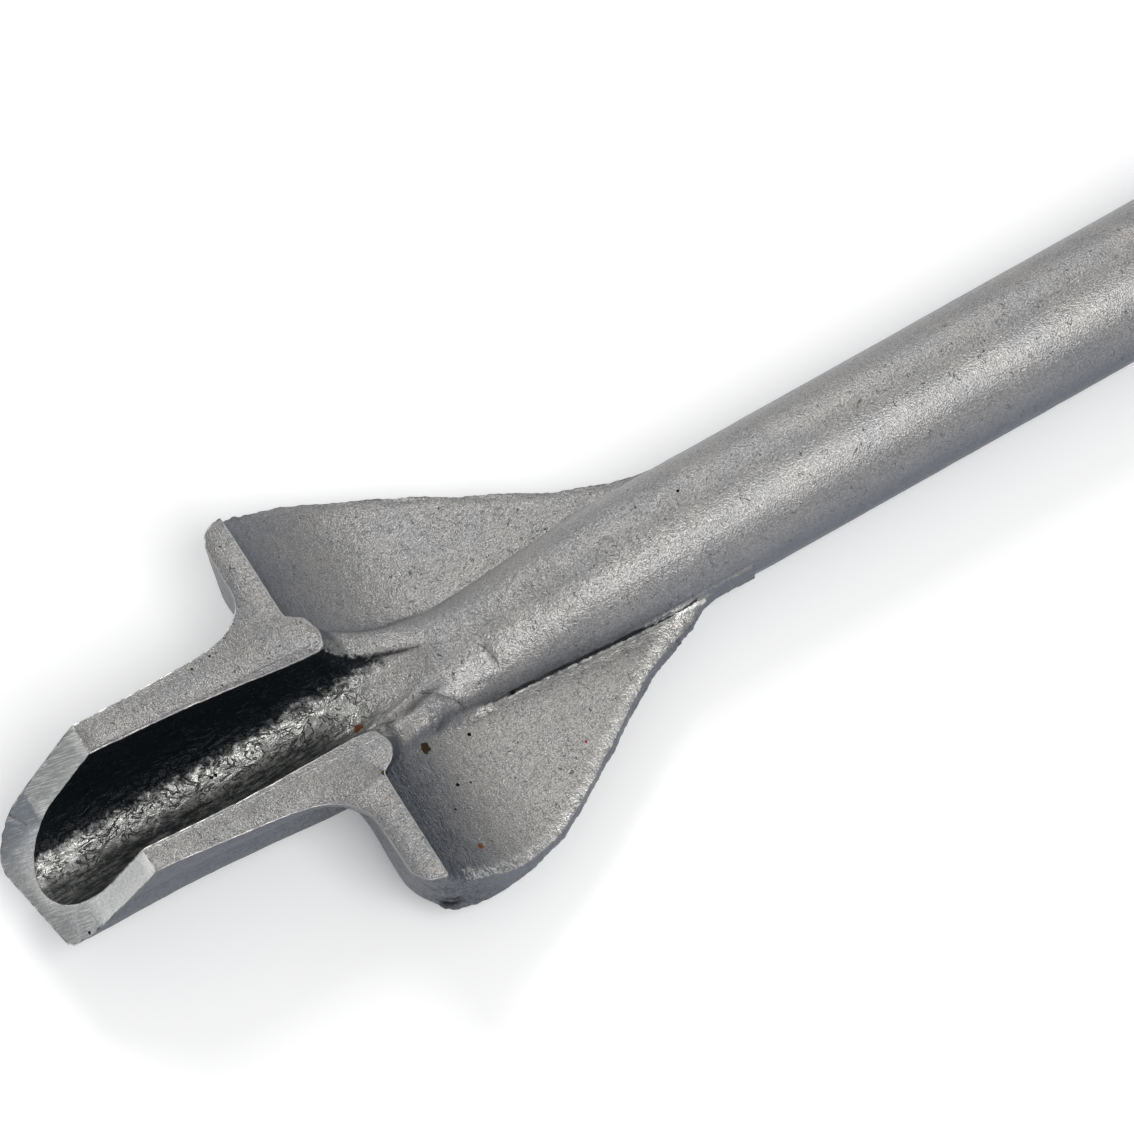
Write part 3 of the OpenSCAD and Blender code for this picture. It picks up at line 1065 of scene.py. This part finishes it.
def coat_colour(tree, place, marks):
    """The coat's colour with its painted shade and highlights: each layer lies over the ones
    before it with its share
    """
    mottle = cloud(tree, place, 0.16, 3.0)
    colour = blend(tree, ramp(tree, mottle, 0.35, 0.65), COAT_COOL, COAT_WARM)
    curl = blend(tree, ramp(tree, marks.brushed, 0.38, 0.62), CURL_SHADE_DARK, CURL_SHADE_PALE)
    for share, layer in (
        # Painted light on the left wing's upper face
        (left_wing_light(tree, place), WING_PAINTED_LIGHT),
        (ramp(tree, marks.grain, 0.32, 0.55, 0.5, 0.0), DARK_GRAIN),
        (ramp(tree, marks.grain, 0.52, 0.7, 0.0, 0.4), PALE_GRAIN),
        (times(tree, marks.hairs, 0.4), PALE_HAIR),
        (times(tree, marks.cracks, 0.7), CRACK),
        # Painted shade on faces that look down or back
        (times(tree, painted_underside_shade(tree), 0.8), UNDERSIDE_SHADE),
        # Painted shade in the curls
        (marks.curl, curl),
        # Painted shade in the creases and grooves
        (times(tree, marks.crease, 0.92), CREASE_SHADE),
        # Painted highlights on the lip and along the root
        (times(tree, marks.lip, 0.2), LIP_HIGHLIGHT),
        (times(tree, marks.root_highlight, 0.8), ROOT_HIGHLIGHT),
        (marks.rim, BRIGHT_RIM),
        # Painted shade along the laps and the root crease
        (times(tree, marks.laps, 0.85), LAP_SHADE),
        # The front strip painted pale as a highlight
        (marks.front_strip, strip_highlight_colour(tree, marks)),
        # Painted shade on the channel's floor and far side
        (marks.dark_floor, floor_shade_colour(tree, place)),
        (marks.wall, WALL_SHADE_BLACK),
    ):
        colour = blend(tree, share, colour, layer)
    return spotted(tree, place, colour)


def silver_coat():
    """The thin silver-grey coat over the forged skin"""
    material, tree, shader = finish_of("silver_coat")
    place = place_in_mm(tree)
    marks = CoatMarks(tree, place)
    rough = ramp(tree, cloud(tree, place, 1.2, 3.0), 0.3, 0.7, 0.40, 0.46)
    rough = plus_share(tree, rough, marks.front_strip, -0.08)
    rough = plus_share(tree, rough, marks.crease, 0.25)
    dull = maths(tree, "MAXIMUM", times(tree, marks.dark_floor, 0.6), marks.wall)
    feed(tree, shader, {
        "Base Color": coat_colour(tree, place, marks),
        "Roughness": rough,
        "Metallic": ramp(tree, dull, 0.0, 1.0, 0.8, 0.0),
        "Normal": relief(tree, coat_height(tree, marks)),
        "Specular IOR Level": 0.12,
    })
    return material


# Bare and turned steel

# The grinding wheel's lines lean this far from straight across the bevel
WHEEL_TURN = math.radians(64)

COATED_EDGE = (0.33, 0.33, 0.33)
BARE_EDGE = (0.80, 0.79, 0.76)
DARK_STEEL = (0.50, 0.50, 0.49)
PALE_STEEL = (0.66, 0.66, 0.64)
BLUE_STEEL = (0.34, 0.365, 0.395)
# Painted light on the right arm's facet
ARM_LIGHT = (0.72, 0.72, 0.69)
DARK_SCRATCH = (0.21, 0.215, 0.22)
WHITE_SCRATCH = (0.92, 0.92, 0.90)
# Painted light on the left arm's facet
PALE_ARM_LIGHT_DULL = (0.74, 0.74, 0.71)
PALE_ARM_LIGHT = (0.92, 0.92, 0.89)
TURNED_DARK = (0.36, 0.365, 0.38)
TURNED_PALE = (0.46, 0.455, 0.45)


def worn_edge():
    """The thin burnished edges of the ground faces"""
    material, tree, shader = finish_of("worn_edge")
    place = place_in_mm(tree)
    front = ramp(tree, axes(tree, place)[0], BAND_X + 4, BAND_X + 18, 0.15, 1.0)
    bare = times(tree, ramp(tree, cloud(tree, place, 0.8, 3.0, 0.6), 0.44, 0.58), front)
    feed(tree, shader, {
        "Base Color": blend(tree, bare, COATED_EDGE, BARE_EDGE),
        "Roughness": 0.38,
        "Metallic": 0.85,
    })
    return material


def wheel_lines(tree, place):
    """The grinding wheel's fine lines on the bevel"""
    slope_way = Vector((-BEVEL_SLOPE, 0, 1)).normalized()
    side_way = Vector((0, 1, 0))
    along = side_way * math.cos(WHEEL_TURN) + slope_way * math.sin(WHEEL_TURN)
    across = slope_way * math.cos(WHEEL_TURN) - side_way * math.sin(WHEEL_TURN)
    squeezed = times(tree, dot(tree, place, along), 0.06)
    flat = add(tree, "CombineXYZ", {0: dot(tree, place, across), 1: squeezed, 2: 0.0}).outputs[0]
    return cloud(tree, flat, 5.5, 2.0, 0.8)


def ground_colour(tree, place, scratches, pits):
    """The bevel's colour: a right arm painted bright and a left arm painted pale, as painted light
    on their facets, and a bluish deep end
    """
    _, y, z = axes(tree, place)
    y = plus_share(tree, y, pits, 1.0)
    z = plus_share(tree, z, pits, 1.0)
    above_corner = ramp(tree, z, ARM_CORNER_Z + 0.4, ARM_CORNER_Z + 0.7)
    right_arm = times(tree, ramp(tree, y, -4.0, -5.0), above_corner)
    left_arm = times(tree, ramp(tree, y, 5.5, 8.0), ramp(tree, z, 4.0, 6.0))
    colour = blend(tree, ramp(tree, pits, 0.35, 0.65), DARK_STEEL, PALE_STEEL)
    colour = blend(tree, ramp(tree, y, -3.5, -8.5), colour, BLUE_STEEL)
    # The right arm is painted bright, as light on its facet
    colour = blend(tree, right_arm, colour, ARM_LIGHT)
    dark = maths(tree, "SUBTRACT", 1.0, ramp(tree, scratches, 0.42, 0.62))
    dark = times(tree, dark, ramp(tree, left_arm, 0.0, 1.0, 0.4, 0.0))
    dark = times(tree, dark, ramp(tree, right_arm, 0.0, 1.0, 1.0, 1.45))
    colour = blend(tree, dark, colour, DARK_SCRATCH)
    colour = blend(tree, ramp(tree, scratches, 0.58, 0.70, 0.0, 0.5), colour, WHITE_SCRATCH)
    # The left arm is painted pale and mottled, as light on its facet
    mottled = blend(tree, ramp(tree, pits, 0.3, 0.7), PALE_ARM_LIGHT_DULL, PALE_ARM_LIGHT)
    colour = blend(tree, times(tree, left_arm, 0.9), colour, mottled)
    return spotted(tree, place, colour)


def ground_steel():
    """The bevel's bare ground steel with the wheel's scratches"""
    material, tree, shader = finish_of("ground_steel")
    place = place_in_mm(tree)
    scratches = wheel_lines(tree, place)
    pits = cloud(tree, place, 3.5, 2.0, 0.6)
    height = plus_share(tree, times(tree, pits, 0.05), scratches, 0.06)
    feed(tree, shader, {
        "Base Color": ground_colour(tree, place, scratches, pits),
        "Roughness": ramp(tree, pits, 0.3, 0.7, 0.36, 0.46),
        "Metallic": 0.85,
        "Normal": relief(tree, height),
    })
    return material


def turned_steel():
    """The tang's turned and thinly coated steel"""
    material, tree, shader = finish_of("turned_steel")
    place = place_in_mm(tree)
    rings = add(tree, "CombineXYZ", {0: axes(tree, place)[0], 1: 0.0, 2: 0.0}).outputs[0]
    marks = cloud(tree, rings, 4.0, 4.0, 0.6)
    grain = cloud(tree, place, 1.5, 3.0)
    height = plus_share(tree, times(tree, marks, 0.01), grain, 0.02)
    feed(tree, shader, {
        "Base Color": blend(tree, grain, TURNED_DARK, TURNED_PALE),
        "Roughness": ramp(tree, grain, 0.3, 0.7, 0.42, 0.52),
        "Metallic": 0.9,
        "Normal": relief(tree, height),
    })
    return material


# The studio, in metres

FLOOR_HALF = 3.0
FLOOR_GLOW = 0.2
LAMP_TARGET = Vector((0.235, 0, 0))
SENSOR = 36
CAMERA_AWAY = 1.2
CAMERA_SEES = 0.1423
CAMERA_BACK = Vector((0.1492, 0.4298, 0.8904))
CAMERA_RIGHT = Vector((-0.8627, 0.4966, -0.0951))
CAMERA_TARGET = Vector((0.2194, -0.0038, 0))
SKY_LOW = (0.24, 0.26, 0.30)
SKY_HIGH = (0.44, 0.44, 0.44)


def floor_material():
    """A pale floor that looks a little brighter than it lights the bit"""
    material, tree, shader = finish_of("pale_floor")
    rays = add(tree, "LightPath").outputs
    mirrored = maths(tree, "MAXIMUM", rays["Is Glossy Ray"], rays["Is Transmission Ray"])
    seen = maths(tree, "MAXIMUM", rays["Is Camera Ray"], mirrored)
    feed(tree, shader, {
        "Base Color": (0.93, 0.93, 0.93, 1),
        "Roughness": 0.9,
        "Emission Color": (1, 1, 1, 1),
        "Emission Strength": times(tree, seen, FLOOR_GLOW),
    })
    return material


def floor():
    """The floor under the bit"""
    bm = bmesh.new()
    bmesh.ops.create_grid(bm, x_segments=1, y_segments=1, size=FLOOR_HALF)
    bmesh.ops.translate(bm, verts=bm.verts, vec=(0, 0, cad_box[0].z))
    plane = put("floor", mesh_of("floor", bm))
    plane.data.materials.append(floor_material())


def lamp(name, towards, away, size, power):
    """A square soft light that shines at the head from a direction"""
    light = bpy.data.lights.new(name, "AREA")
    light.size = size
    light.energy = power
    way = Vector(towards).normalized()
    holder = put(name, light)
    holder.location = LAMP_TARGET + way * away
    holder.rotation_euler = way.to_track_quat("Z", "Y").to_euler()


def camera():
    """The camera at the photograph's angle: it looks down at the head over its left side"""
    lens = bpy.data.cameras.new("camera")
    lens.sensor_width = SENSOR
    lens.lens = SENSOR * CAMERA_AWAY / CAMERA_SEES
    lens.clip_start, lens.clip_end = 0.05, 20
    back = CAMERA_BACK.normalized()
    right = (CAMERA_RIGHT - back * CAMERA_RIGHT.dot(back)).normalized()
    turn = Matrix((right, back.cross(right), back)).transposed()
    holder = put("camera", lens)
    holder.matrix_world = Matrix.Translation(CAMERA_TARGET + back * CAMERA_AWAY) @ turn.to_4x4()
    bpy.context.scene.camera = holder


def world():
    """Soft light from all round, a little bluer near the floor"""
    surroundings = bpy.data.worlds.new("studio")
    surroundings.use_nodes = True
    tree = surroundings.node_tree
    height = axes(tree, add(tree, "TexCoord").outputs["Generated"])[2]
    sky = blend(tree, ramp(tree, height, -0.1, 0.8), SKY_LOW, SKY_HIGH)
    feed(tree, tree.nodes["Background"], {"Color": sky})
    bpy.context.scene.world = surroundings


camera()
world()
floor()
lamp("key", (-0.1, 0.57, 0.82), 1.0, 0.50, 5.3)
lamp("far_side", (-0.1, -0.69, 0.72), 1.0, 0.32, 2.4)

body = forging()
# In the order of COATED, GROUND and WORN
for finish in (silver_coat(), ground_steel(), worn_edge()):
    body.data.materials.append(finish)
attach(body, "root")
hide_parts(*FORGED_NODES)

tang = frame["nodes"]["tang"]
tang.data.materials.clear()
tang.data.materials.append(turned_steel())

bpy.context.scene.view_settings.view_transform = "Standard"
